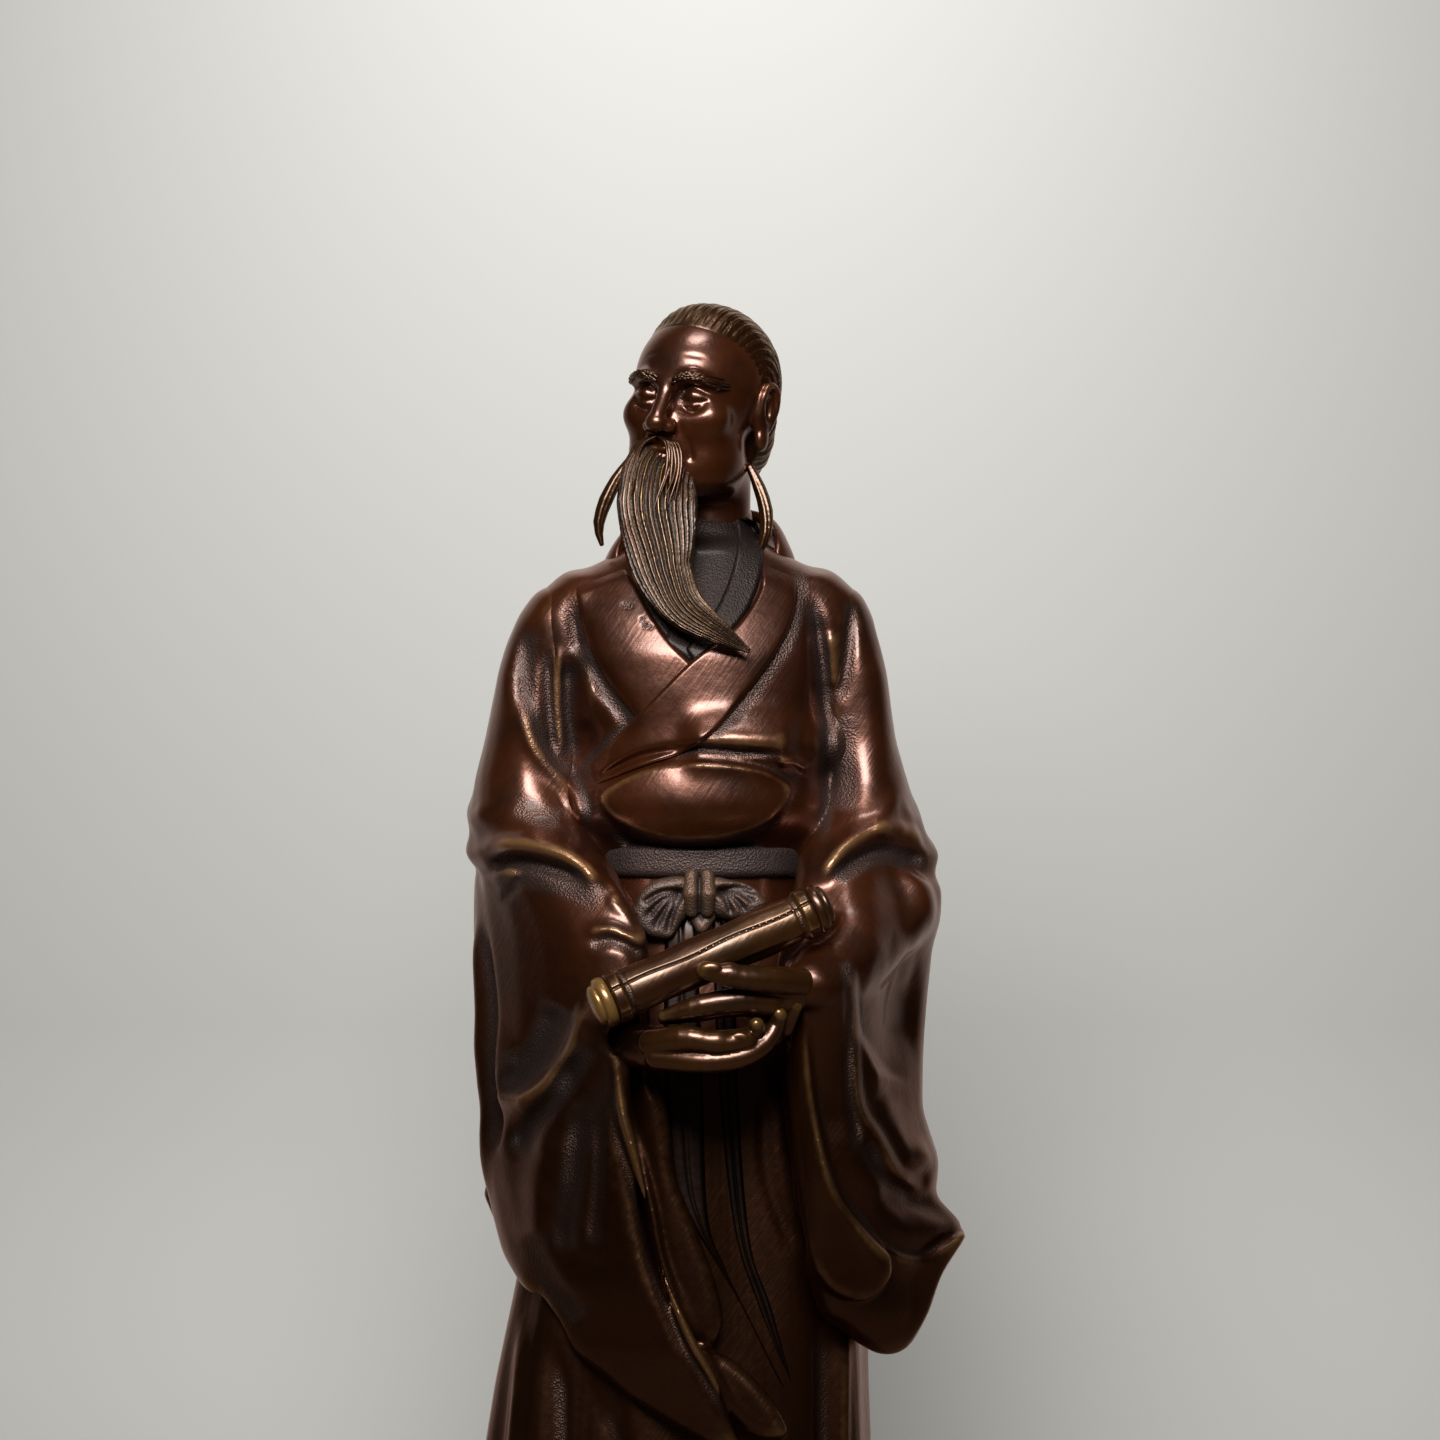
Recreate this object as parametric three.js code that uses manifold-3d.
// A bronze figurine of a standing scholar in a wide-sleeved robe, holding a scroll in both hands.
// It is made as such bronzes are: sections cast apart, then seated in one another, pinned and soldered.
// Millimetres, +Z up. The figure faces -Y, so its right side is at -X. The castings are drawn about the
// axis of the robe, and the finished figure is then set with the middle of its foot at the origin.
import * as THREE from "three";
import { LoftGeometry } from "three/addons/geometries/LoftGeometry.js";
import { mergeVertices } from "three/addons/utils/BufferGeometryUtils.js";
import Module from "manifold-3d";

const wasm = await Module();
wasm.setup();

// Fits between castings
const CLEARANCE = 0.3; // gap left by the solder between two seated castings
const BITE = 1.2; // how far a piece is drawn into its neighbour before it is cut back to the gap
const WALL = 3; // wall of the hollow robe

// Robe: heights of its stations above the hem, then its reach from the axis at each station
const KNEE_RISE = 41;
const THIGH_RISE = 66;
const HIP_RISE = 100;
const SKIRT_LENGTH = 131; // hem to the lower edge of the belt
const BELLY_RISE = 12; // above the lower edge of the belt, as are the next four
const RIB_RISE = 22;
const CHEST_RISE = 32;
const SHOULDER_RISE = 45;
const TORSO_LENGTH = 54;
const HEM = { right: 40, left: 33, front: 26, back: 27 };
const KNEE = { right: 35, left: 27, front: 23, back: 23.5 };
const THIGH = { right: 30, left: 27, front: 21, back: 21 };
const HIP = { right: 25, left: 25, front: 18.5, back: 18 };
const WAIST = { right: 17.5, left: 17.5, front: 15, back: 13.5 };
const BELLY = { right: 19, left: 19, front: 17, back: 14.5 };
const RIBS = { right: 20.5, left: 20.5, front: 18.5, back: 16.5 };
const CHEST = { right: 23, left: 22.5, front: 18.5, back: 18 };
const SHOULDER = { right: 24.5, left: 24, front: 14, back: 16.5 };
const NECKLINE = { right: 10.5, left: 10.5, front: 8.5, back: 9 };
const ROBE_SQUARENESS = 2.3; // 2 is an ellipse
const FLUTE_DEPTH = 1.3; // pleats of the skirt at the hem
const FLUTE_COUNT = 11;
const CORE_TOP = 26; // how far the hollow runs above the belt's lower edge
const BELLY_OVERHANG = 3.4; // fold of cloth that hangs over the belt
const BELLY_OVERHANG_WIDTH = 34;
const BELLY_OVERHANG_HEIGHT = 15;

// Belt and its bow
const BELT_WIDTH = 5;
const BELT_THICKNESS = 1.2;
const KNOT_WIDTH = 4;
const KNOT_HEIGHT = 5.4;
const KNOT_THICKNESS = 3;
const LOOP_SPAN = 9; // from the knot to a loop's far end
const LOOP_WIDTH = 4.2;
const TAIL_WIDTH = 2.6;
const TAIL_THICKNESS = 1.1;

// Collar
const LAPEL_WIDTH = 10.5;
const LAPEL_THICKNESS = 1.5;
const COLLAR_RISE = 4.5; // stand of the under collar above the robe's neckline
const COLLAR_DROP = 20; // how far the under collar shows down the chest
const COLLAR_THICKNESS = 3;

// Head, in its own frame: the face looks along -Y and the middle of the skull is the origin
const HEAD_RISE = 22.2; // middle of the skull above the robe's neckline
const HEAD_SHIFT = 0; // towards the figure's left
const HEAD_FORWARD = 1;
const HEAD_YAW = -28;
const HEAD_ROLL = 4;
const CHIN_DROP = 15.8;
const CROWN_RISE = 15.8;
const SKULL_HALF_WIDTH = 11;
const FACE_FRONT = 13.8;
const SKULL_BACK = 13.4;
const NOSE_HEIGHT = 3.3;
const NECK_RADIUS = 6;
const NECK_X = 1.5;
const NECK_Y = 2.5;
const TENON_RADIUS = 4.5;
const TENON_LENGTH = 11; // into the socket in the robe
const HAIR_THICKNESS = 1.3;
const LOCK_RADIUS = 1.5; // at the middle of a hanging side lock

// Beard: half width and half thickness where it leaves the chin
const BEARD_HALF_WIDTH = 6.6;
const BEARD_HALF_THICKNESS = 3;
const BEARD_STRANDS = 5;
const MOUSTACHE_RADIUS = 1.3;

// Scroll: its middle, its slope and its roll
const SCROLL_DROP = 12; // its middle below the belt's lower edge
const SCROLL_FORWARD = 36; // in front of the axis
const SCROLL_SHIFT = 1.8; // towards the figure's left
const SCROLL_LENGTH = 35;
const SCROLL_RADIUS = 3.8;
const SCROLL_RISE = 23; // degrees up towards the figure's left
const SCROLL_SWING = 11; // degrees away from the viewer towards the figure's left
const SCROLL_FLAP = 0.5; // step where the sheet's edge lies on the roll
const KNOB_RADIUS = 4.1;
const KNOB_LENGTH = 3.4;
const PEG_RADIUS = 1.5;
const PEG_LENGTH = 4;

// Hands, with wrists at the sleeve mouths
const FINGER_RADIUS = 1.35;
const THUMB_RADIUS = 1.5;
const WRIST_RADIUS = 3.2;
const CUFF_DEPTH = 8.5; // how far a wrist runs into its sleeve
const RIGHT_PALM_DROP = 26.2; // below the belt's lower edge
const RIGHT_PALM_FORWARD = 33.4;
const RIGHT_PALM_ASIDE = 5.2; // towards the figure's right

// Pins that hold the castings together
const ARM_PIN_RADIUS = 1.5;
const ARM_PIN_LENGTH = 8;
const ARM_PIN_RISE = 38; // above the belt's lower edge
const NECK_PIN_RADIUS = 1;
const NECK_PIN_DROP = 2.6; // below the neckline, where the collar covers it
const NECK_PIN_BITE = 2; // into the tenon
const WRIST_PIN_RADIUS = 1;
const WRIST_PIN_LENGTH = 7;

// Shoes under the hem
const SHOE_LENGTH = 25;
const SHOE_WIDTH = 13;
const SHOE_HEIGHT = 8;
const SHOE_SPREAD = 10; // each shoe's middle from the axis
const SHOE_OUT = 5.5; // how far the toes stand out in front of the hem
const SHOE_TURN = 12; // degrees outwards

const BELT_Z = SKIRT_LENGTH;
const NECKLINE_Z = SKIRT_LENGTH + TORSO_LENGTH;
const TAU = Math.PI * 2;
const FRONT = -Math.PI / 2; // angle of the front round a ring
const radians = THREE.MathUtils.degToRad;
const at = (x, y, z) => new THREE.Vector3(x, y, z);

// A smooth curve through [position, value] pairs that never swings past them
function profile(pairs) {
  const last = pairs.length - 1;
  const slopes = pairs.slice(1).map(([p, v], i) => (v - pairs[i][1]) / (p - pairs[i][0]));
  const tangents = pairs.map((_, i) => {
    const before = slopes[Math.max(0, i - 1)];
    const after = slopes[Math.min(last - 1, i)];
    return before * after <= 0 ? 0 : (2 * before * after) / (before + after);
  });
  return (position) => {
    const p = THREE.MathUtils.clamp(position, pairs[0][0], pairs[last][0]);
    let i = 0;
    while (i < last - 1 && p > pairs[i + 1][0]) i += 1;
    const span = pairs[i + 1][0] - pairs[i][0];
    const t = (p - pairs[i][0]) / span;
    const ease = t * t * (3 - 2 * t);
    const lead = t * (1 - t) * (1 - t) * span * tangents[i];
    const trail = t * t * (t - 1) * span * tangents[i + 1];
    return pairs[i][1] * (1 - ease) + pairs[i + 1][1] * ease + lead + trail;
  };
}

// Folds of the cast cloth as they show from the front, or from behind for the robe's back: the width of
// the fold, its height, which is negative for a valley, and its route as [x, rise above the belt's lower edge]
const fold = (width, height, ...route) => {
  const curve = new THREE.SplineCurve(route.map(([x, rise]) => new THREE.Vector2(x, rise)));
  return { width, height, line: curve.getPoints(16) };
};
const FOLDS = {
  robe: [
    fold(2.2, -1.1, [19.6, 40], [20.4, 30], [18.6, 18], [15, 8]), // crease beside the left arm
    fold(2.2, -1.1, [-22, 40], [-19.6, 26], [-16, 14], [-14, 6]), // crease beside the right arm
    fold(2.4, 0.8, [17, 38], [14, 27], [8, 21]), // pull from the left arm to the lapel
    fold(3.4, 1.3, [-4, -36], [-1.6, -58], [6, -82], [12, -106], [16, -131]), // front of the skirt
    fold(3, -1, [4.6, -40], [8, -60], [16, -86], [21, -131]),
    fold(4, 1.2, [22, -70], [24, -100], [27, -131]),
    fold(3.6, 1.2, [-26, -74], [-27, -100], [-30, -131]),
    fold(3, -1, [-19, -84], [-18, -106], [-19, -131]),
  ],
  back: [
    fold(3, 1.6, [0, -10], [0.5, -46], [-1, -90], [0, -131]), // falls from the belt to the hem
    fold(2.8, -1.5, [-7, -12], [-9, -46], [-12, -90], [-14, -131]),
    fold(2.8, -1.5, [7.4, -12], [9, -46], [12, -90], [13.4, -131]),
    fold(3, 1.3, [-14, -18], [-17, -54], [-21, -92], [-24, -131]),
    fold(3, 1.3, [14, -18], [16.6, -54], [19.6, -92], [21, -131]),
    fold(2.6, -1.1, [0.4, 42], [0, 28], [0.8, 12]), // hollow between the shoulder blades
    fold(3, 0.9, [-13, 40], [-9.6, 26], [-4.6, 12]), // cloth drawn down from the shoulders to the belt
    fold(3, 0.9, [13, 40], [10, 26], [5.4, 12]),
  ],
  right: [
    fold(2.8, 1.5, [-37, 3.4], [-29, 4.4], [-20, 2.4], [-12.6, -3]), // roll of cloth at the elbow
    fold(2.6, -1.5, [-37, -1.6], [-28, -0.4], [-20, -2.6], [-15, -7]),
    fold(2.8, -1.2, [-27.6, 38], [-25, 26], [-22.4, 14]), // crease down the upper arm
    fold(2.6, 0.9, [-30.4, 32], [-27.6, 20], [-24.4, 9]),
    fold(3, 1.3, [-33.6, -31], [-27.6, -35], [-20.4, -31.4], [-16, -25]), // sling under the forearm
    fold(3.4, -1.1, [-34, -37], [-28, -41], [-21, -38]),
    fold(3, -0.9, [-17.4, -32], [-16, -45], [-16.8, -60]), // soft falls beside the mouth
    fold(3, 0.8, [-21.6, -38], [-20.6, -50], [-21, -66]),
  ],
  left: [
    fold(5.4, 4.4, [35, -4], [28.6, -10.4], [22, -13.6], [17, -16]), // forearm under the cloth
    fold(2.8, 1.5, [37, 4.6], [29, 7], [22.4, 4.8], [16, 0]), // roll of cloth at the elbow
    fold(2.6, -1.5, [37, 0.4], [29, 2.4], [23.4, 0.4], [18.6, -4.4]),
    fold(2.8, -1.2, [24, 40], [24.6, 28], [22.8, 14]), // crease down the upper arm
    fold(2.6, 0.9, [28, 34], [28.6, 20], [27, 10]),
    fold(4, -1.6, [32.6, -2], [33, -14], [32.4, -28]), // hollow side of the hanging cloth
    fold(2.6, 1.3, [24.4, -3], [23.4, -18], [24, -34], [28.6, -48]),
    fold(2.6, 1.2, [25, -30], [30.4, -43.4], [38.4, -50]), // falls that cascade to the tip
    fold(2.2, -1.1, [24.8, -36], [29, -48.6], [38.4, -54]),
    fold(2.6, 1.2, [23, -40], [28, -54], [41, -57]),
    fold(2.2, -1.2, [22.6, -48], [28, -59.6], [37, -62]),
  ],
};
function foldRelief(folds, x, rise) {
  const spot = new THREE.Vector2(x, rise);
  return folds.reduce((sum, { width, height, line }) => {
    const distance = Math.min(...line.map((knot) => knot.distanceTo(spot)));
    return sum + height * bell(distance, width);
  }, 0);
}

const bell = (distance, width) => Math.exp(-((distance / width) ** 2));
const power = (value, exponent) => Math.sign(value) * Math.abs(value) ** exponent;
const steps = (count, from, to) => Array.from({ length: count + 1 }, (_, i) => from + ((to - from) * i) / count);

// Closed geometry to solid and back
function solid(geometry) {
  const bare = new THREE.BufferGeometry();
  bare.setAttribute("position", geometry.attributes.position);
  bare.setIndex(geometry.index);
  const merged = mergeVertices(bare, 1e-4);
  const vertProperties = merged.attributes.position.array;
  const triVerts = new Uint32Array(merged.index.array);
  return new wasm.Manifold(new wasm.Mesh({ numProp: 3, vertProperties, triVerts }));
}

function geometryOf(body) {
  const mesh = body.getMesh();
  const geometry = new THREE.BufferGeometry();
  geometry.setAttribute("position", new THREE.BufferAttribute(mesh.vertProperties, 3));
  geometry.setIndex(new THREE.BufferAttribute(mesh.triVerts, 1));
  geometry.computeVertexNormals();
  return geometry;
}

// The largest body that is left when a casting is cut back from its neighbours
function cutBack(body, ...neighbours) {
  const rest = neighbours.reduce((left, neighbour) => left.subtract(neighbour), body);
  return rest.decompose().reduce((a, b) => (a.volume() > b.volume() ? a : b));
}

const loft = (sections) => new LoftGeometry(sections, { capStart: true, capEnd: true });

// A tube along a curve. outline(share, angle) gives [across, outwards] in the section's own plane.
function sweep(curve, outwards, stepCount, sides, outline) {
  const sections = steps(stepCount, 0, 1).map((raw) => {
    const share = (1 - Math.cos(raw * Math.PI)) / 2;
    const point = curve.getPoint(share);
    const along = curve.getTangent(share);
    const out = outwards(point).clone();
    out.addScaledVector(along, -out.dot(along)).normalize();
    const across = new THREE.Vector3().crossVectors(out, along);
    return steps(sides, 0, TAU)
      .slice(0, sides)
      .map((angle) => {
        const [u, v] = outline(share, angle);
        return point.clone().addScaledVector(across, u).addScaledVector(out, v);
      });
  });
  return loft(sections);
}

// Share of the full section near a tube's rounded ends
function rounding(share, start, end) {
  const near = Math.min(1, share / start);
  const far = Math.min(1, (1 - share) / end);
  return Math.max(0.06, Math.sqrt(1 - (1 - near) ** 2) * Math.sqrt(1 - (1 - far) ** 2));
}

// A round rod with rounded ends, thinner towards the tip
function rod(points, startRadius, endRadius, stepCount, sides, outwards = () => at(0, 0, 1)) {
  const curve = new THREE.CatmullRomCurve3(points);
  return sweep(curve, outwards, stepCount, sides, (share, angle) => {
    const radius = THREE.MathUtils.lerp(startRadius, endRadius, share) * rounding(share, 0.12, 0.2);
    return [radius * Math.cos(angle), radius * Math.sin(angle)];
  });
}

// A pin between two points
function pin(from, to, radius, sides = 14) {
  const length = from.distanceTo(to);
  const geometry = new THREE.CylinderGeometry(radius, radius, length, sides);
  const turn = new THREE.Quaternion().setFromUnitVectors(at(0, 1, 0), to.clone().sub(from).normalize());
  const middle = from.clone().lerp(to, 0.5);
  return geometry.applyMatrix4(new THREE.Matrix4().compose(middle, turn, at(1, 1, 1)));
}

// Robe: one hollow casting from hem to shoulders
const ROBE_STATIONS = [
  [0, HEM],
  [KNEE_RISE, KNEE],
  [THIGH_RISE, THIGH],
  [HIP_RISE, HIP],
  [BELT_Z, WAIST],
  [BELT_Z + BELT_WIDTH, WAIST],
  [BELT_Z + BELLY_RISE, BELLY],
  [BELT_Z + RIB_RISE, RIBS],
  [BELT_Z + CHEST_RISE, CHEST],
  [BELT_Z + SHOULDER_RISE, SHOULDER],
  [NECKLINE_Z, NECKLINE],
];
const robeReach = Object.fromEntries(
  ["right", "left", "front", "back"].map((side) => [
    side,
    profile(ROBE_STATIONS.map(([z, station]) => [z, station[side]])),
  ]),
);
const pleatFade = profile([[0, 1], [HIP_RISE, 0.15], [BELT_Z, 0]]);
const overhangMiddle = BELT_Z + BELLY_RISE;

// How far a front fold stands out of the robe: the fold that hangs over the belt, then the chest's own ease
function frontFold(x, z) {
  const across = bell(x, BELLY_OVERHANG_WIDTH / 2.6);
  const below = z < overhangMiddle ? BELLY_OVERHANG_HEIGHT / 3.4 : BELLY_OVERHANG_HEIGHT / 2.4;
  return BELLY_OVERHANG * across * bell(z - overhangMiddle, below);
}

function robePoint(angle, z, grow = 0, folded = true) {
  const c = Math.cos(angle);
  const s = Math.sin(angle);
  const pleat = folded ? pleatFade(z) * FLUTE_DEPTH * Math.cos(FLUTE_COUNT * angle + 1.3 * Math.sin(2 * angle)) : 0;
  const reachX = (c < 0 ? robeReach.right(z) : robeReach.left(z)) + pleat + grow;
  const reachY = (s < 0 ? robeReach.front(z) : robeReach.back(z)) + pleat + grow;
  const exponent = 2 / ROBE_SQUARENESS;
  const point = at(reachX * power(c, exponent), reachY * power(s, exponent), z);
  if (!folded) return point;
  if (s < 0) point.y -= frontFold(point.x, z);
  const folds = s < 0 ? FOLDS.robe : FOLDS.back;
  const lift = foldRelief(folds, point.x, z - BELT_Z) * Math.min(1, 2.5 * Math.abs(s));
  return point.add(at(lift * c, lift * s, 0));
}

// The robe's front surface over a point of the front view, and the way it faces there
function robeFront(x, z) {
  const reach = x < 0 ? robeReach.right(z) : robeReach.left(z);
  const share = Math.min(0.98, Math.abs(x) / reach);
  const depth = robeReach.front(z) * (1 - share ** ROBE_SQUARENESS) ** (1 / ROBE_SQUARENESS);
  return at(x, -depth - frontFold(x, z), z);
}
function robeFacing(point) {
  const reachX = point.x < 0 ? robeReach.right(point.z) : robeReach.left(point.z);
  const reachY = point.y < 0 ? robeReach.front(point.z) : robeReach.back(point.z);
  return at(point.x / reachX ** 2, point.y / reachY ** 2, 0.012).normalize();
}

const SKIRT_ROWS = 8;
const TORSO_ROWS = 9;
const ROBE_SIDES = 44;
const BELT_SIDES = 36;
function robeSolid(grow = 0) {
  const levels = [...steps(SKIRT_ROWS, 0, BELT_Z), ...steps(TORSO_ROWS, BELT_Z, NECKLINE_Z).slice(1)];
  levels[0] -= grow;
  levels[levels.length - 1] += grow;
  const ring = (z) => steps(ROBE_SIDES, 0, TAU).slice(0, ROBE_SIDES).map((angle) => robePoint(angle, z, grow));
  return solid(loft(levels.map(ring)));
}
function robeCore() {
  const sides = 16;
  const levels = [-BITE, ...steps(5, 2, BELT_Z + CORE_TOP)];
  const top = BELT_Z + CORE_TOP;
  const ring = (z) => {
    const closing = Math.max(0.3, Math.min(1, (top - z) / 12 + 0.3));
    return steps(sides, 0, TAU)
      .slice(0, sides)
      .map((angle) => robePoint(angle, Math.max(0, z), -WALL - FLUTE_DEPTH * pleatFade(z), false))
      .map((point) => at(point.x * closing, point.y * closing, z));
  };
  return solid(loft(levels.map(ring)));
}

// Neck: a round post between head and robe, and the tenon below it that enters the robe's socket
const neckFoot = at(NECK_X, NECK_Y, NECKLINE_Z);
const tenonEnd = at(NECK_X, NECK_Y, NECKLINE_Z - TENON_LENGTH);
const headCentre = at(HEAD_SHIFT, -HEAD_FORWARD, NECKLINE_Z + HEAD_RISE);
const headMatrix = new THREE.Matrix4().compose(
  headCentre,
  new THREE.Quaternion().setFromEuler(new THREE.Euler(0, radians(HEAD_ROLL), radians(HEAD_YAW), "YZX")),
  at(1, 1, 1),
);
const fromHead = (x, y, z) => at(x, y, z).applyMatrix4(headMatrix);
function neckSolid(grow = 0) {
  const jaw = fromHead(0, 4, -CHIN_DROP / 2);
  const post = pin(neckFoot, jaw, NECK_RADIUS + grow, 14);
  const tenon = pin(tenonEnd, neckFoot.clone().lerp(jaw, 0.1), TENON_RADIUS + grow, 14);
  return solid(post).add(solid(tenon));
}
function neckPin(grow = 0) {
  const z = NECKLINE_Z - NECK_PIN_DROP;
  const inner = at(NECK_X, NECK_Y + TENON_RADIUS - NECK_PIN_BITE - grow, z);
  const outer = at(NECK_X, robeReach.back(z) - CLEARANCE + grow, z);
  return solid(pin(inner, outer, NECK_PIN_RADIUS + grow, 10));
}

// Head: a lofted skull whose face is shaped by formula on plain, balanced proportions
const skullSide = profile([
  [-CHIN_DROP, 0.34 * SKULL_HALF_WIDTH],
  [-0.82 * CHIN_DROP, 0.64 * SKULL_HALF_WIDTH],
  [-0.45 * CHIN_DROP, 0.86 * SKULL_HALF_WIDTH],
  [0, 0.97 * SKULL_HALF_WIDTH],
  [0.35 * CROWN_RISE, SKULL_HALF_WIDTH],
  [0.72 * CROWN_RISE, 0.86 * SKULL_HALF_WIDTH],
  [0.93 * CROWN_RISE, 0.5 * SKULL_HALF_WIDTH],
  [CROWN_RISE, 0.12 * SKULL_HALF_WIDTH],
]);
const skullFront = profile([
  [-CHIN_DROP, 0.84 * FACE_FRONT],
  [-0.85 * CHIN_DROP, 0.97 * FACE_FRONT],
  [-0.5 * CHIN_DROP, 0.98 * FACE_FRONT],
  [0, 0.97 * FACE_FRONT],
  [0.35 * CROWN_RISE, FACE_FRONT],
  [0.7 * CROWN_RISE, 0.87 * FACE_FRONT],
  [0.92 * CROWN_RISE, 0.53 * FACE_FRONT],
  [CROWN_RISE, 0.1 * FACE_FRONT],
]);
const skullBack = profile([
  [-CHIN_DROP, -0.2 * SKULL_BACK],
  [-0.8 * CHIN_DROP, 0.12 * SKULL_BACK],
  [-0.45 * CHIN_DROP, 0.62 * SKULL_BACK],
  [0, 0.92 * SKULL_BACK],
  [0.4 * CROWN_RISE, SKULL_BACK],
  [0.75 * CROWN_RISE, 0.86 * SKULL_BACK],
  [0.93 * CROWN_RISE, 0.5 * SKULL_BACK],
  [CROWN_RISE, 0.12 * SKULL_BACK],
]);
const EYE_Z = 1.4;
const EYE_X = 4.5;
const MOUTH_Z = -8;
const noseHeight = profile([[-5.4, 0], [-4.4, 0.7], [-3.2, 1], [1.2, 0.42], [4.4, 0.12], [6, 0]]);
const noseWidth = profile([[-5, 2.2], [-2, 1.8], [2, 1.2], [5, 1.8]]);
function faceRelief(x, z) {
  const side = Math.abs(x);
  const nose = NOSE_HEIGHT * noseHeight(z) * bell(x, noseWidth(z));
  const brow = 0.9 * bell(z - EYE_Z - 3.1, 1.2) * bell(side - EYE_X, 3);
  const socket = -1.5 * bell(z - EYE_Z, 1.5) * bell(side - EYE_X, 2.3);
  const eye = 1.1 * bell(z - EYE_Z, 0.9) * bell(side - EYE_X, 1.6);
  const cheek = 0.7 * bell(z + 3, 2.4) * bell(side - 6.2, 2.4);
  const lips = 0.8 * bell(x, 2.9) * (bell(z - MOUTH_Z - 0.8, 0.7) + bell(z - MOUTH_Z + 0.8, 0.7));
  const chin = 0.7 * bell(z + 0.85 * CHIN_DROP, 2) * bell(x, 3);
  return nose + brow + socket + eye + cheek + lips + chin;
}
const HEAD_SIDES = 20;
const HEAD_ROWS = 18;
const HAIR_SIDES = 16;
const HAIR_ROWS = 11;
function skullPoint(angle, z, grow, faced) {
  const c = Math.cos(angle);
  const s = Math.sin(angle);
  const front = skullFront(z);
  const back = skullBack(z);
  const middle = s < 0 ? 0 : Math.min(0, back - 4);
  const reachY = s < 0 ? front + grow : back - middle + grow;
  const x = (skullSide(z) + grow) * power(c, 0.92);
  const y = middle * s + reachY * power(s, 0.92);
  return at(x, y - (faced && s < 0 ? faceRelief(x, z) * -s : 0), z);
}
function skullSolid(grow = 0, faced = true) {
  const sides = faced ? HEAD_SIDES : HAIR_SIDES;
  const rows = faced ? HEAD_ROWS : HAIR_ROWS;
  const turns = steps(sides, 0, TAU)
    .slice(0, sides)
    .map((angle) => (faced ? angle - 0.42 * Math.sin(angle - FRONT) : angle)); // closer together round a face
  const levels = steps(rows, -CHIN_DROP, CROWN_RISE);
  levels[0] -= grow;
  levels[rows] += grow;
  const ring = (z) => turns.map((angle) => skullPoint(angle, z, grow, faced));
  return solid(loft(levels.map(ring)).applyMatrix4(headMatrix));
}
function earSolid(side, grow = 0) {
  const ear = new THREE.SphereGeometry(1, 8, 6);
  ear.applyMatrix4(new THREE.Matrix4().makeScale(1.5 + grow, 2.6 + grow, 4.4 + grow));
  ear.applyMatrix4(new THREE.Matrix4().makeRotationX(radians(-14)));
  ear.applyMatrix4(new THREE.Matrix4().makeTranslation(side * (SKULL_HALF_WIDTH - 0.2), 1.8, -1.6));
  return solid(ear.applyMatrix4(headMatrix));
}
function headSolid(grow = 0) {
  return [earSolid(-1, grow), earSolid(1, grow), neckSolid(grow)].reduce((a, b) => a.add(b), skullSolid(grow));
}

// Hair: a combed-back cap over the skull, open in front of the hairline
function hairline(grow = 0) {
  const edge = new THREE.Shape();
  edge.moveTo(-30, -30);
  edge.lineTo(5 - grow, -30);
  edge.lineTo(5 - grow, -9);
  edge.bezierCurveTo(7 - grow, -3, 3 - grow, 2, 1.5 - grow, 5);
  edge.bezierCurveTo(0 - grow, 9, -1.5 - grow, 12, -3.5 - grow, CROWN_RISE + 12);
  edge.lineTo(-30, CROWN_RISE + 12);
  const plate = new THREE.ExtrudeGeometry(edge, { depth: 60, bevelEnabled: false, curveSegments: 5 });
  const upright = new THREE.Matrix4().makeBasis(at(0, 1, 0), at(0, 0, 1), at(1, 0, 0)).setPosition(-30, 0, 0);
  return solid(plate.applyMatrix4(upright).applyMatrix4(headMatrix));
}
function hairSolid(grow = 0) {
  const nape = new THREE.BoxGeometry(60, 60, 30);
  nape.translate(0, 0, -0.6 * CHIN_DROP - 15 - grow);
  return skullSolid(HAIR_THICKNESS + grow, false).subtract(hairline(grow)).subtract(solid(nape.applyMatrix4(headMatrix)));
}
function lockSolid(side, grow = 0) {
  const root = fromHead(side * (SKULL_HALF_WIDTH - 1), 3, -0.3 * CHIN_DROP);
  const [bowX, bowY] = side < 0 ? [-14.4, 1] : [11.2, -1.6];
  const [lowX, lowY] = side < 0 ? [-16.9, -2.4] : [9.8, -4.6];
  const [endX, endY] = side < 0 ? [-16, -6] : [8.8, -8];
  const curve = new THREE.CatmullRomCurve3([
    root,
    at(bowX, bowY, NECKLINE_Z + 9.2),
    at(lowX, lowY, NECKLINE_Z + 3.4),
    at(endX, endY, NECKLINE_Z - 2.4),
  ]);
  const leaf = profile([[0, 0.55], [0.35, 0.8], [0.6, 1], [0.85, 0.7], [1, 0.3]]);
  const outline = (share, angle) => {
    const radius = LOCK_RADIUS * leaf(share) + grow;
    return [radius * Math.cos(angle), 0.75 * radius * Math.sin(angle)];
  };
  return solid(sweep(curve, () => at(0, -1, 0.2), 7, 7, outline));
}

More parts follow.
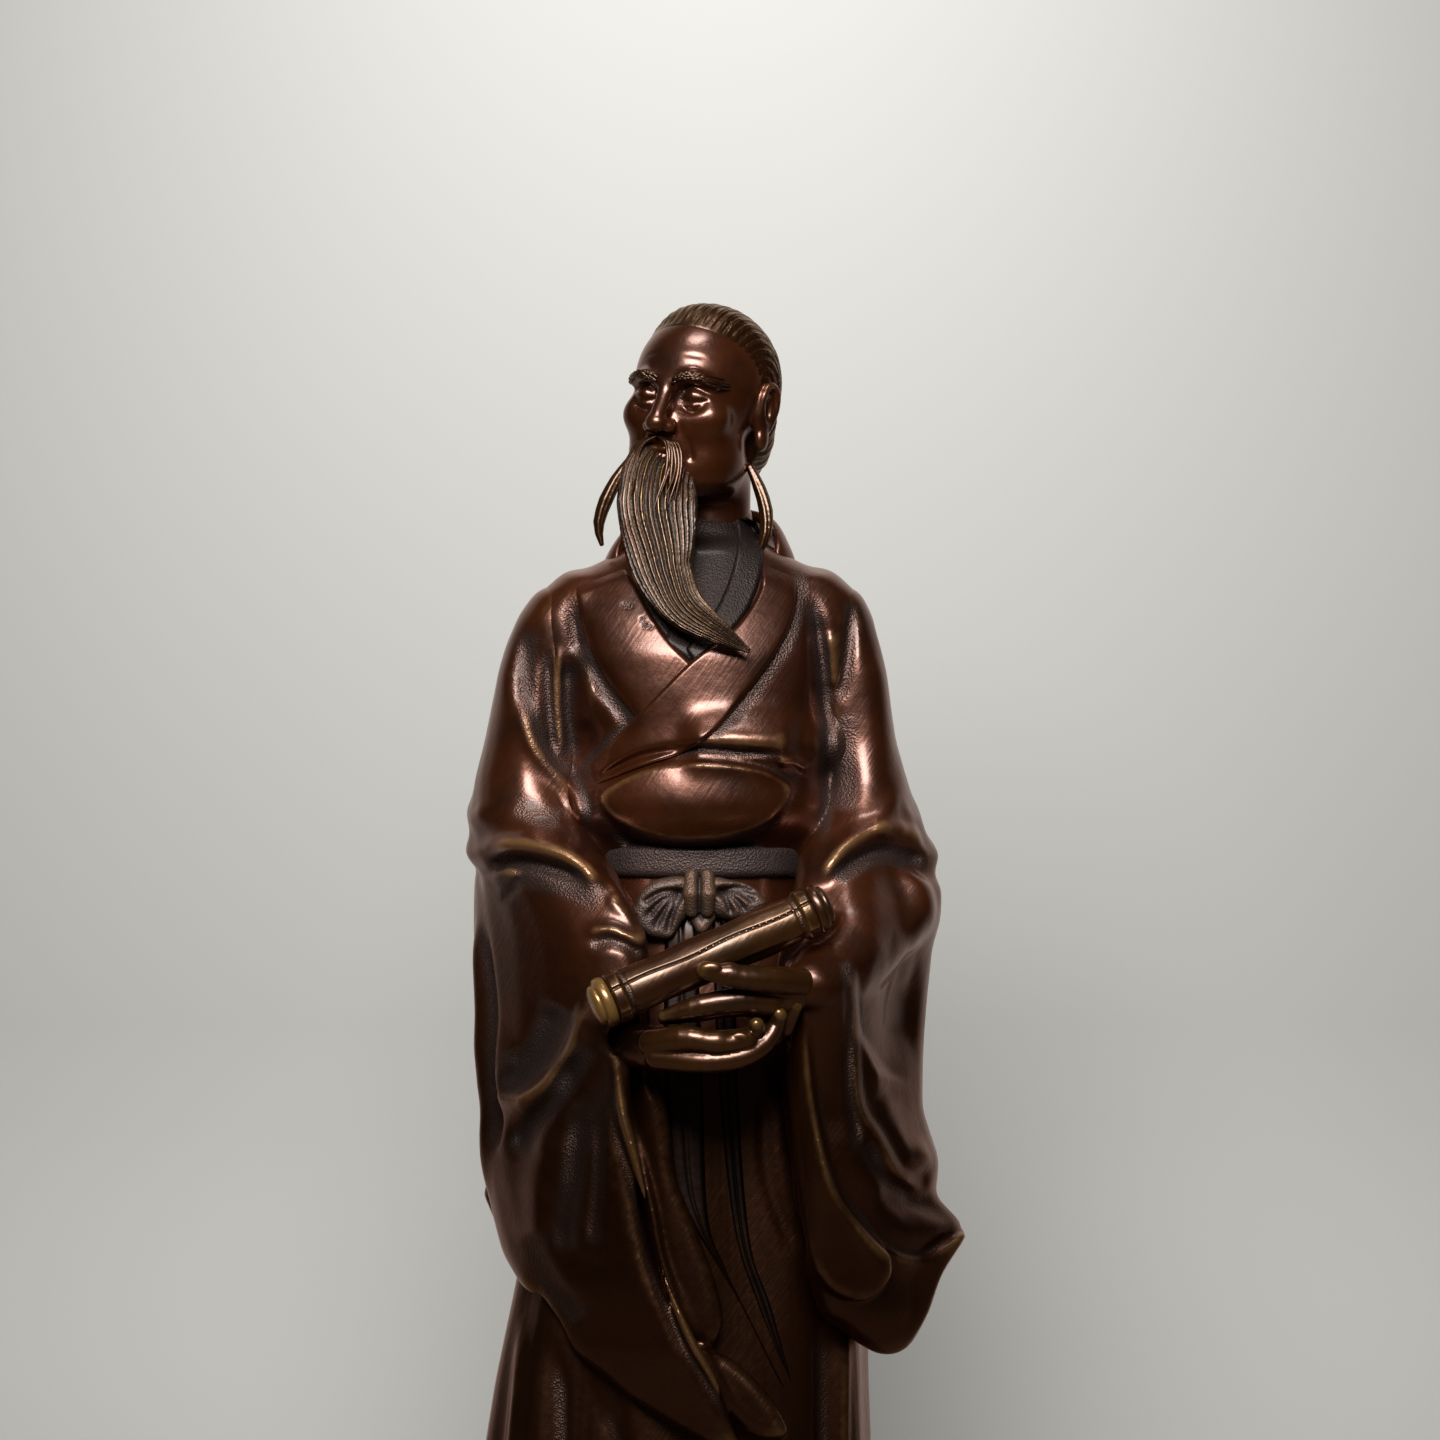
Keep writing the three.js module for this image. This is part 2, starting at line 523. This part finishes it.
// Beard: a long lock that hangs from the chin and sweeps aside over the chest, ribbed by its strands
function beardSolid(grow = 0) {
  const root = fromHead(0, -FACE_FRONT + 2.2, -0.72 * CHIN_DROP);
  const laid = (x, drop) => {
    const chest = robeFront(x, NECKLINE_Z - drop);
    return at(chest.x, chest.y - LAPEL_THICKNESS - BEARD_HALF_THICKNESS * 0.6, chest.z);
  };
  const curve = new THREE.CatmullRomCurve3([
    root,
    at(-6.2, root.y - 3.4, NECKLINE_Z + 0.6),
    at(-5.2, root.y - 7.2, NECKLINE_Z - 7.6),
    laid(-0.8, 13),
    laid(8.2, 17.6),
  ]);
  const width = profile([[0, 1], [0.3, 0.95], [0.55, 0.7], [0.8, 0.4], [1, 0.16]]);
  const outline = (share, angle) => {
    const ends = rounding(share, 0.1, 0.06) * width(share);
    const rib = 1 + 0.05 * Math.cos(2 * BEARD_STRANDS * angle);
    const u = (BEARD_HALF_WIDTH * ends + grow) * rib * Math.cos(angle);
    const v = (BEARD_HALF_THICKNESS * ends * (1 - 0.3 * share) + grow) * rib * Math.sin(angle);
    return [u, v];
  };
  return solid(sweep(curve, () => at(-0.3, -1, 0.1), 8, 4 * BEARD_STRANDS, outline));
}
function moustacheSolid(grow = 0) {
  const lip = FACE_FRONT + 0.9;
  const points = [
    fromHead(-4.9, -lip + 2.6, MOUTH_Z - 5.2),
    fromHead(-4.4, -lip + 1.2, MOUTH_Z - 0.6),
    fromHead(-1.8, -lip, MOUTH_Z + 2),
    fromHead(1.8, -lip, MOUTH_Z + 2),
    fromHead(4.4, -lip + 1.2, MOUTH_Z - 0.6),
    fromHead(4.9, -lip + 2.6, MOUTH_Z - 5.2),
  ];
  const facing = fromHead(0, -1, 0).sub(headCentre);
  const radius = MOUSTACHE_RADIUS + grow;
  return solid(rod(points, radius, radius, 9, 5, () => facing));
}

// Collar bands and ribbons: flat strips that lie on the robe
function ribbon(points, width, thickness, rowCount, outwards, grow = 0) {
  const curve = new THREE.CatmullRomCurve3(points);
  const half = (share) => width(share) / 2 + grow;
  const outline = (share, angle) => {
    const u = half(share) * power(Math.cos(angle), 0.35);
    const v = (thickness + BITE) * 0.5 * power(Math.sin(angle), 0.35) + (thickness - BITE) * 0.5;
    return [u, v + grow * Math.sin(angle)];
  };
  return solid(sweep(curve, outwards, rowCount, 8, outline));
}
const neckSide = (side, rise) => at(side * (NECKLINE.left + 2.4), 0, NECKLINE_Z + rise);
const neckBack = (side) => at(side * 0.6, NECKLINE.back + 2.6, NECKLINE_Z - 1.6);
function lapelPoints(side) {
  const front = side > 0 ? [[11.6, 47], [8.4, 39], [2.6, 30.5], [-8.4, 21]] : [[-15, 45], [-12.6, 38], [-6.6, 30.5]];
  const laid = front.map(([x, rise]) => robeFront(x, BELT_Z + rise));
  return [neckBack(side), at(side * 8.6, NECKLINE.back - 1, NECKLINE_Z - 0.8), neckSide(side, -0.4), ...laid];
}
const lapelWidth = profile([[0, 0.55 * LAPEL_WIDTH], [0.35, 0.8 * LAPEL_WIDTH], [0.6, LAPEL_WIDTH], [1, LAPEL_WIDTH]]);
const lapelSolid = (side, grow = 0) =>
  ribbon(lapelPoints(side), lapelWidth, LAPEL_THICKNESS, 10, robeFacing, grow);

// Under collar: the plain inner robe that fills the neck of the outer one
function underCollarSolid(grow = 0) {
  const top = NECKLINE_Z + COLLAR_RISE;
  const rise = profile([[-COLLAR_DROP, 0.5], [-0.5 * COLLAR_DROP, 0.8], [0, 1], [COLLAR_RISE, 0.92]]);
  const ring = (z) => {
    const above = z - NECKLINE_Z;
    const radius = (NECK_RADIUS + COLLAR_THICKNESS) * rise(above) + grow;
    const front = above < 0 ? robeReach.front(z) + 0.9 + grow : Math.max(radius, NECKLINE.front + 0.9 + grow - above);
    return steps(18, 0, TAU)
      .slice(0, 18)
      .map((angle) => {
        const s = Math.sin(angle);
        const y = s < 0 ? s * (front + (above < 0 ? 0 : NECK_Y)) : s * radius;
        return at(NECK_X * 0.6 + radius * Math.cos(angle), y + (above < 0 ? 0 : NECK_Y), z);
      });
  };
  return solid(loft(steps(5, NECKLINE_Z - COLLAR_DROP - grow, top + grow).map(ring)));
}

// Belt round the waist, with a bow in front of it
function beltSolid(grow = 0) {
  const ring = (z) =>
    steps(BELT_SIDES, 0, TAU)
      .slice(0, BELT_SIDES)
      .map((angle) => robePoint(angle, z, BELT_THICKNESS + CLEARANCE + grow, false));
  return solid(loft([BELT_Z - grow, BELT_Z + BELT_WIDTH + grow].map(ring)));
}
const bowZ = BELT_Z - KNOT_HEIGHT / 2 + 0.4;
const bowFront = robeFront(0, bowZ).y - BELT_THICKNESS;
function knotSolid(grow = 0) {
  const points = [
    at(0, bowFront - KNOT_THICKNESS / 2, bowZ - KNOT_HEIGHT / 2),
    at(0, bowFront - KNOT_THICKNESS / 2, bowZ + KNOT_HEIGHT / 2),
  ];
  const outline = (share, angle) => {
    const ends = 0.82 + 0.18 * Math.cos(TAU * (share - 0.5));
    const pinch = 1 - 0.1 * bell(Math.cos(angle), 0.25);
    const u = (KNOT_WIDTH / 2 + grow) * ends * power(Math.cos(angle), 0.6);
    const v = (KNOT_THICKNESS / 2 + BITE + grow) * pinch * power(Math.sin(angle), 0.6);
    return [u, v];
  };
  return solid(sweep(new THREE.CatmullRomCurve3(points), () => at(0, -1, 0), 4, 12, outline));
}
function bowLoopSolid(side, grow = 0) {
  const y = bowFront - 0.6;
  const points = [
    at(side * (KNOT_WIDTH / 2 - 0.5), y, bowZ + 0.6),
    at(side * (KNOT_WIDTH / 2 + 0.45 * LOOP_SPAN), y - 0.5, bowZ + 0.8),
    at(side * (KNOT_WIDTH / 2 + LOOP_SPAN), y + 2, bowZ - 3),
  ];
  const open = profile([[0, 0.35], [0.4, 0.9], [0.75, 1], [1, 0.8]]);
  const outline = (share, angle) => {
    const ends = rounding(share, 0.02, 0.25) * open(share);
    return [(LOOP_WIDTH / 2) * ends * Math.cos(angle) + grow * Math.cos(angle), (1.5 * ends + grow) * Math.sin(angle)];
  };
  return solid(sweep(new THREE.CatmullRomCurve3(points), robeFacing, 6, 9, outline));
}
function tailSolid(side, grow = 0) {
  const route = [[0, -4.6], [0.2, -22], [1.2, -42], [4, -58], [9.4, -74], [12, -86]];
  const points = route.map(([x, rise]) => robeFront(x + side * (0.55 * TAIL_WIDTH + 0.35), BELT_Z + rise));
  return ribbon(points, () => TAIL_WIDTH, TAIL_THICKNESS, 7, robeFacing, grow);
}

// Sleeves: the arm from the shoulder, then the wide cloth that hangs from the forearm.
// A station is its height above the belt's lower edge, the middle of its section, the section's half
// length and half thickness, and the turn of its length from the Y axis in degrees.
const sleeveStation = (rise, x, y, long, short, turn) => ({ rise, x, y, long, short, turn });
const SLEEVES = {
  right: [
    sleeveStation(50, -15, 0, 4, 3, 0),
    sleeveStation(46, -20.6, 0.5, 8.6, 6.2, 0),
    sleeveStation(38, -24.6, 1, 10.6, 6.8, 0),
    sleeveStation(22, -26.8, 1.5, 11.4, 8.2, 3),
    sleeveStation(10, -28.4, 0, 13, 9, 12),
    sleeveStation(3, -26.2, -4, 17, 8.6, 26),
    sleeveStation(-11, -22.6, -11, 22, 8, 34),
    sleeveStation(-34, -22, -12.5, 21, 7.5, 36),
    sleeveStation(-49, -21, -13.5, 20, 7, 38),
    sleeveStation(-61, -18.8, -16, 18.5, 6, 42),
    sleeveStation(-69, -15.2, -19.5, 16, 5, 48),
    sleeveStation(-76, -10.4, -23.4, 12.5, 4, 56),
    sleeveStation(-83, -4, -26, 8.4, 2.8, 64),
    sleeveStation(-91, 5, -28, 2, 1.4, 70),
  ],
  left: [
    sleeveStation(50, 15, 0, 4, 3, 0),
    sleeveStation(46, 20, 0.5, 8.6, 6, 0),
    sleeveStation(38, 22.8, 1, 10.6, 6.4, 0),
    sleeveStation(22, 25, 1.5, 11.4, 6.6, -3),
    sleeveStation(10, 27.2, 0, 13, 7.6, -12),
    sleeveStation(3, 27.2, -4, 16, 8.8, -25),
    sleeveStation(-12, 25.4, -11, 18.4, 7.8, -32),
    sleeveStation(-32, 24.6, -13, 17.4, 7.1, -33),
    sleeveStation(-38, 24.6, -13.4, 17, 6.9, -34),
    sleeveStation(-46, 26.6, -13.8, 17.4, 7, -36),
    sleeveStation(-52, 26.4, -14.4, 16.4, 6.4, -38),
    sleeveStation(-57, 29.4, -13.4, 18, 5.8, -42),
    sleeveStation(-63, 27.4, -14.4, 14, 5.4, -45),
    sleeveStation(-70, 27.6, -14.4, 10.6, 4.8, -45),
    sleeveStation(-75, 30, -12, 5.6, 3.6, -40),
    sleeveStation(-77, 30.4, -11.4, 2, 1.6, -40),
  ],
};
const SLEEVE_SIDES = 18;
const SLEEVE_ROW = 7; // greatest height between two rings
const MOUTH_GAP = 3.4; // width of a sleeve's open mouth
const MOUTH_DEPTH = 9;
const MOUTH_RUN = { right: [-17, -74], left: [-17, -66] };
function sleeveShape(side) {
  const order = [...SLEEVES[side]].sort((a, b) => a.rise - b.rise);
  const curveOf = (key) => profile(order.map((station) => [station.rise, station[key]]));
  const [x, y, long, short, turn] = ["x", "y", "long", "short", "turn"].map(curveOf);
  const rows = order.slice(1).flatMap(({ rise }, i) => {
    const from = order[i].rise;
    return steps(Math.ceil((rise - from) / SLEEVE_ROW), from, rise).slice(i ? 1 : 0);
  });
  return { side, x, y, long, short, turn, rows };
}
const sleeveShapes = { right: sleeveShape("right"), left: sleeveShape("left") };

function sleeveRing(shape, rise, sides, long, short, shift, aside, folded) {
  const turn = radians(shape.turn(rise));
  const along = at(Math.sin(turn), -Math.cos(turn), 0); // towards the sleeve's mouth
  const across = at(Math.cos(turn), Math.sin(turn), 0);
  const middle = at(shape.x(rise), shape.y(rise), BELT_Z + rise);
  middle.addScaledVector(along, shift).addScaledVector(across, aside);
  return steps(sides, 0, TAU)
    .slice(0, sides)
    .map((angle) => {
      const point = middle.clone();
      point.addScaledVector(across, short * power(Math.cos(angle), 0.9));
      point.addScaledVector(along, -long * power(Math.sin(angle), 0.9));
      if (!folded) return point;
      const facing = at(0, 0, 0);
      facing.addScaledVector(across, Math.cos(angle) / short);
      facing.addScaledVector(along, -Math.sin(angle) / long).normalize();
      const seen = THREE.MathUtils.smoothstep(-facing.y, -0.1, 0.4);
      return point.addScaledVector(facing, seen * foldRelief(FOLDS[shape.side], point.x, rise));
    });
}
function sleeveSolid(side) {
  const shape = sleeveShapes[side];
  const ring = (rise) => sleeveRing(shape, rise, SLEEVE_SIDES, shape.long(rise), shape.short(rise), 0, 0, true);
  return solid(loft(shape.rows.map(ring)));
}
// A point inside the sleeve, behind its mouth, where the wrist ends
function cuffPoint(side, rise) {
  const shape = sleeveShapes[side];
  const turn = radians(shape.turn(rise));
  const reach = shape.long(rise) - CUFF_DEPTH;
  return at(shape.x(rise) + reach * Math.sin(turn), shape.y(rise) - reach * Math.cos(turn), BELT_Z + rise);
}
// The open mouth of the sleeve, from under the wrist to near the hanging tip
function sleeveMouth(side) {
  const shape = sleeveShapes[side];
  const [top, foot] = MOUTH_RUN[side];
  const inwards = side === "right" ? 1 : -1;
  const rings = steps(8, foot, top).map((rise) => {
    const ends = Math.min(1, 0.25 + (rise - foot) / 14, 0.25 + (top - rise) / 6);
    const long = shape.long(rise);
    return sleeveRing(shape, rise, 12, MOUTH_DEPTH * ends, (MOUTH_GAP / 2) * ends, long - 1, inwards * 0.9, false);
  });
  return solid(loft(rings));
}

// Scroll: a roll with the sheet's edge lying on it, and a turned knob pegged into each end
const scrollMatrix = new THREE.Matrix4().compose(
  at(SCROLL_SHIFT, -SCROLL_FORWARD, BELT_Z - SCROLL_DROP),
  new THREE.Quaternion().setFromEuler(
    new THREE.Euler(0, radians(-SCROLL_RISE), radians(SCROLL_SWING), "ZYX"),
  ),
  at(1, 1, 1),
);
function scrollSection(radius) {
  const shape = new THREE.Shape();
  const first = radians(108); // where the sheet's edge lies, on the upper front of the roll
  const turns = steps(16, 0, 1).slice(0, 16);
  turns.forEach((share, i) => {
    const layer = radius - SCROLL_FLAP * (1 - share);
    const angle = first + share * TAU;
    const point = [layer * Math.cos(angle), layer * Math.sin(angle)];
    if (i === 0) shape.moveTo(...point);
    else shape.lineTo(...point);
  });
  shape.lineTo(radius * Math.cos(first - 0.02), radius * Math.sin(first - 0.02));
  return shape;
}
function scrollSolid(grow = 0) {
  const length = SCROLL_LENGTH + 2 * grow;
  const roll = new THREE.ExtrudeGeometry(scrollSection(SCROLL_RADIUS + grow), { depth: length, bevelEnabled: false });
  roll.translate(0, 0, -length / 2);
  const lengthwise = new THREE.Matrix4().makeBasis(at(0, 1, 0), at(0, 0, 1), at(1, 0, 0));
  return solid(roll.applyMatrix4(lengthwise).applyMatrix4(scrollMatrix));
}
function knobSolid(side, grow = 0) {
  const near = SCROLL_LENGTH / 2 + CLEARANCE;
  const far = near + KNOB_LENGTH + grow;
  const pegTip = SCROLL_LENGTH / 2 - PEG_LENGTH - grow;
  const r = KNOB_RADIUS + grow;
  const profilePoints = [
    [0, pegTip],
    [PEG_RADIUS + grow, pegTip],
    [PEG_RADIUS + grow, near - grow],
    [0.98 * r, near - grow],
    [r, near + 0.25 * KNOB_LENGTH],
    [0.84 * r, near + 0.36 * KNOB_LENGTH],
    [0.9 * r, near + 0.6 * KNOB_LENGTH],
    [0.7 * r, near + 0.9 * KNOB_LENGTH],
    [0, far],
  ];
  const knob = new THREE.LatheGeometry(profilePoints.map(([radius, along]) => new THREE.Vector2(radius, along)), 12);
  const lengthwise = new THREE.Matrix4().makeRotationZ((-side * Math.PI) / 2);
  return solid(knob.applyMatrix4(lengthwise).applyMatrix4(scrollMatrix));
}
const onScroll = (along, y, z) => at(along, y, z).applyMatrix4(scrollMatrix);

// Hands: the left one holds the scroll under its thumb, and the right one is cupped beneath it
function joined(pieces) {
  return pieces.reduce((a, b) => a.add(b));
}
function palm(centre, size, turn, grow) {
  const ball = new THREE.SphereGeometry(1, 8, 6);
  const scale = at(size.x + grow, size.y + grow, size.z + grow);
  const rotation = new THREE.Quaternion().setFromEuler(new THREE.Euler(...turn.map(radians)));
  return solid(ball.applyMatrix4(new THREE.Matrix4().compose(centre, rotation, scale)));
}
const leftWrist = onScroll(0.54 * SCROLL_LENGTH, 3.4, -1.4 * SCROLL_RADIUS);
const leftCuff = cuffPoint("left", -SCROLL_DROP + 4);
function leftHandSolid(grow = 0) {
  const under = -SCROLL_RADIUS - FINGER_RADIUS + 0.6;
  const fingers = [-1.6, 0.6, 2.8, 4.8].map((y, i) => {
    const reach = [-9.5, -10.5, -10, -8][i];
    const points = [onScroll(12, y, under - 0.6), onScroll(2, y, under), onScroll(reach, y - 0.6, under + 0.2)];
    return solid(rod(points, FINGER_RADIUS * 1.1 + grow, FINGER_RADIUS * 0.85 + grow, 4, 6));
  });
  const thumbPoints = [onScroll(14, -1.6, -4.6), onScroll(9, -4.6, -2.4), onScroll(1.2, -5, -1.2)];
  const thumb = solid(rod(thumbPoints, THUMB_RADIUS * 1.25 + grow, THUMB_RADIUS * 0.9 + grow, 5, 7));
  const middle = palm(onScroll(13, 1.6, under - 0.4), at(5.4, 4.6, 2.6), [0, -SCROLL_RISE, SCROLL_SWING], grow);
  const wrist = solid(rod([onScroll(15, 2, under), leftWrist, leftCuff], WRIST_RADIUS + grow, WRIST_RADIUS + grow, 3, 8));
  return joined([...fingers, thumb, middle, wrist]);
}
const rightPalm = at(-RIGHT_PALM_ASIDE, -RIGHT_PALM_FORWARD, BELT_Z - RIGHT_PALM_DROP);
const rightCuff = cuffPoint("right", -RIGHT_PALM_DROP + 1.6);
function rightHandSolid(grow = 0) {
  const fingers = [-1.6, 0.7, 3, 5].map((back, i) => {
    const drop = [0, -0.3, 0, 0.6][i];
    const reach = [16.4, 17.4, 16.4, 14][i];
    const points = [
      rightPalm.clone().add(at(2, back, -1.6 + drop)),
      rightPalm.clone().add(at(0.6 * reach, back - 0.2, -2.3 + drop)),
      rightPalm.clone().add(at(reach, back + 0.4, 0.8 + drop)),
      rightPalm.clone().add(at(reach + 2, back + 0.8, 3.4 + drop)),
    ];
    return solid(rod(points, FINGER_RADIUS * 1.15 + grow, FINGER_RADIUS * 0.85 + grow, 5, 6));
  });
  const thumbPoints = [
    rightPalm.clone().add(at(-2, -2, 1.2)),
    rightPalm.clone().add(at(5, -3.6, 2)),
    rightPalm.clone().add(at(12.4, -3.2, 1.9)),
  ];
  const thumb = solid(rod(thumbPoints, THUMB_RADIUS * 1.3 + grow, THUMB_RADIUS * 0.9 + grow, 5, 7));
  const middle = palm(rightPalm.clone().add(at(0, 1.2, -0.4)), at(5.6, 4.8, 2.8), [0, 0, -14], grow);
  const wristPoints = [rightPalm.clone().add(at(-1, 1, 0)), rightPalm.clone().add(at(-5, 3, 0.6)), rightCuff];
  const wrist = solid(rod(wristPoints, WRIST_RADIUS + grow, WRIST_RADIUS + grow, 3, 8));
  return joined([...fingers, thumb, middle, wrist]);
}
function wristPin(side, grow = 0) {
  const cuff = side === "right" ? rightCuff : leftCuff;
  const inner = side === "right" ? rightPalm.clone().add(at(-5, 3, 0.6)) : leftWrist;
  const along = cuff.clone().sub(inner).normalize();
  const from = cuff.clone().addScaledVector(along, -WRIST_PIN_LENGTH / 2 - grow);
  const to = cuff.clone().addScaledVector(along, WRIST_PIN_LENGTH / 2 + grow);
  return solid(pin(from, to, WRIST_PIN_RADIUS + grow, 12));
}
function armPin(side, grow = 0) {
  const z = BELT_Z + ARM_PIN_RISE;
  const seam = side * (side < 0 ? robeReach.right(z) : robeReach.left(z));
  const half = ARM_PIN_LENGTH / 2 + grow;
  return solid(pin(at(seam - half, 1, z), at(seam + half, 1, z), ARM_PIN_RADIUS + grow));
}

// Shoes: upturned cloth toes that show under the hem
function shoeSolid(side, grow = 0) {
  const heelY = -HEM.front - SHOE_OUT + SHOE_LENGTH;
  const toeY = -HEM.front - SHOE_OUT;
  const width = profile([[0, 0.34], [0.2, 0.44], [0.65, 0.5], [0.9, 0.36], [1, 0.12]]);
  const height = profile([[0, 0.9], [0.45, 1], [0.8, 0.62], [1, 0.66]]);
  const sole = 0.25 * SHOE_HEIGHT; // where the shoe is widest
  const sections = steps(9, 0, 1).map((raw) => {
    const share = (1 - Math.cos(raw * Math.PI)) / 2;
    const half = width(share) * SHOE_WIDTH + grow;
    const tall = height(share) * SHOE_HEIGHT + grow - sole;
    const y = THREE.MathUtils.lerp(heelY + grow, toeY - grow, share);
    return steps(12, 0, TAU)
      .slice(0, 12)
      .map((angle) => {
        const up = Math.sin(angle);
        return at(half * Math.cos(angle), y, sole + up * (up < 0 ? 3 * sole : tall));
      });
  });
  const floor = new THREE.BoxGeometry(200, 200, 20).translate(0, 0, -10 - grow);
  const place = new THREE.Matrix4().makeRotationZ(radians(side * SHOE_TURN)).setPosition(side * SHOE_SPREAD, 0, 0);
  return solid(loft(sections).applyMatrix4(place)).subtract(solid(floor));
}

// Castings cut back from the neighbours that they seat on
const SIDES = { right: -1, left: 1 };
const robeCutter = robeSolid(CLEARANCE);
const beltCutter = beltSolid(CLEARANCE);
const headCutter = headSolid(CLEARANCE);
const lapelCutters = { right: lapelSolid(-1, CLEARANCE), left: lapelSolid(1, CLEARANCE) };
const collarCutter = underCollarSolid(CLEARANCE);
const scrollCutters = [scrollSolid(CLEARANCE), knobSolid(-1, CLEARANCE), knobSolid(1, CLEARANCE)];
const handCutters = { right: rightHandSolid(CLEARANCE), left: leftHandSolid(CLEARANCE) };
const tailCutters = [tailSolid(-1, CLEARANCE), tailSolid(1, CLEARANCE)];
const loopCutters = [bowLoopSolid(-1, CLEARANCE), bowLoopSolid(1, CLEARANCE)];

const parts = {};
parts.robe = cutBack(
  robeSolid(),
  robeCore(),
  neckSolid(CLEARANCE),
  neckPin(CLEARANCE),
  armPin(-1, CLEARANCE),
  armPin(1, CLEARANCE),
  shoeSolid(-1, CLEARANCE),
  shoeSolid(1, CLEARANCE),
);
parts.under_collar = cutBack(underCollarSolid(), robeCutter, neckSolid(CLEARANCE), ...Object.values(lapelCutters));
parts.left_lapel = cutBack(lapelSolid(1), robeCutter, neckSolid(CLEARANCE), neckPin(CLEARANCE));
parts.right_lapel = cutBack(
  lapelSolid(-1),
  robeCutter,
  neckSolid(CLEARANCE),
  neckPin(CLEARANCE),
  lapelCutters.left,
);
parts.belt = cutBack(beltSolid(), robeCutter);
parts.bow_knot = cutBack(knotSolid(), robeCutter, beltCutter);
parts.right_bow_loop = cutBack(bowLoopSolid(-1), robeCutter, beltCutter, knotSolid(CLEARANCE));
parts.left_bow_loop = cutBack(bowLoopSolid(1), robeCutter, beltCutter, knotSolid(CLEARANCE));
parts.right_tail = cutBack(tailSolid(-1), robeCutter, knotSolid(CLEARANCE), ...loopCutters);
parts.left_tail = cutBack(tailSolid(1), robeCutter, knotSolid(CLEARANCE), ...loopCutters);
for (const [side, sign] of Object.entries(SIDES)) {
  parts[side + "_sleeve"] = cutBack(
    sleeveSolid(side),
    sleeveMouth(side),
    robeCutter,
    beltCutter,
    knotSolid(CLEARANCE),
    lapelCutters[side],
    armPin(sign, CLEARANCE),
    wristPin(side, CLEARANCE),
    ...scrollCutters,
    ...Object.values(handCutters),
    ...tailCutters,
    ...loopCutters,
  );
  parts[side + "_shoe"] = cutBack(shoeSolid(sign));
  parts[side + "_arm_pin"] = armPin(sign);
  parts[side + "_wrist_pin"] = wristPin(side);
}
const knobCutters = [knobSolid(-1, CLEARANCE), knobSolid(1, CLEARANCE)];
parts.scroll = cutBack(scrollSolid(), ...knobCutters);
parts.right_scroll_knob = knobSolid(-1);
parts.left_scroll_knob = knobSolid(1);
const bowCutters = [knotSolid(CLEARANCE), ...tailCutters, ...loopCutters];
parts.left_hand = cutBack(leftHandSolid(), ...scrollCutters, wristPin("left", CLEARANCE), robeCutter, ...bowCutters);
parts.right_hand = cutBack(
  rightHandSolid(),
  ...scrollCutters,
  handCutters.left,
  wristPin("right", CLEARANCE),
  robeCutter,
  ...bowCutters,
);
parts.head = cutBack(headSolid(), neckPin(CLEARANCE));
parts.neck_pin = neckPin();
parts.hair = cutBack(hairSolid(), headCutter);
parts.beard = cutBack(
  beardSolid(),
  headCutter,
  robeCutter,
  collarCutter,
  ...Object.values(lapelCutters),
);
parts.moustache = cutBack(moustacheSolid(), headCutter, beardSolid(CLEARANCE));
for (const [side, sign] of Object.entries(SIDES)) {
  parts[side + "_hair_lock"] = cutBack(
    lockSolid(sign),
    headCutter,
    hairSolid(CLEARANCE),
    collarCutter,
    robeCutter,
    beardSolid(CLEARANCE),
    ...Object.values(lapelCutters),
  );
}

// Patinated bronze: brown on the smooth cloth, darker in the punched grounds, golden where hands rub it
const bronze = (color, roughness) => new THREE.MeshStandardMaterial({ color, roughness, metalness: 1 });
const FINISHES = {
  robe_brown: bronze(0x5a3322, 0.35),
  ground_dark: bronze(0x3a2a24, 0.55),
  skin_brown: bronze(0x6a3d22, 0.32),
  hair_bronze: bronze(0x5c432c, 0.42),
  rubbed_gold: bronze(0x8a5c26, 0.32),
  pin_brass: bronze(0x9a7a3c, 0.45),
};
const FINISH_OF = {
  under_collar: "ground_dark",
  belt: "ground_dark",
  bow_knot: "ground_dark",
  right_bow_loop: "ground_dark",
  left_bow_loop: "ground_dark",
  right_tail: "ground_dark",
  left_tail: "ground_dark",
  head: "skin_brown",
  right_hand: "skin_brown",
  left_hand: "skin_brown",
  hair: "hair_bronze",
  beard: "hair_bronze",
  moustache: "hair_bronze",
  right_hair_lock: "hair_bronze",
  left_hair_lock: "hair_bronze",
  right_scroll_knob: "rubbed_gold",
  left_scroll_knob: "rubbed_gold",
  neck_pin: "pin_brass",
  right_arm_pin: "pin_brass",
  left_arm_pin: "pin_brass",
  right_wrist_pin: "pin_brass",
  left_wrist_pin: "pin_brass",
};

const castings = new THREE.Group();
castings.name = "castings";
for (const [name, body] of Object.entries(parts)) {
  const mesh = new THREE.Mesh(geometryOf(body), FINISHES[FINISH_OF[name] ?? "robe_brown"]);
  mesh.name = name;
  castings.add(mesh);
}
const extent = new THREE.Box3().setFromObject(castings);
const middle = extent.getCenter(at(0, 0, 0));
castings.position.set(-middle.x, -middle.y, -extent.min.z);

const figurine = new THREE.Group();
figurine.add(castings);

export default figurine;
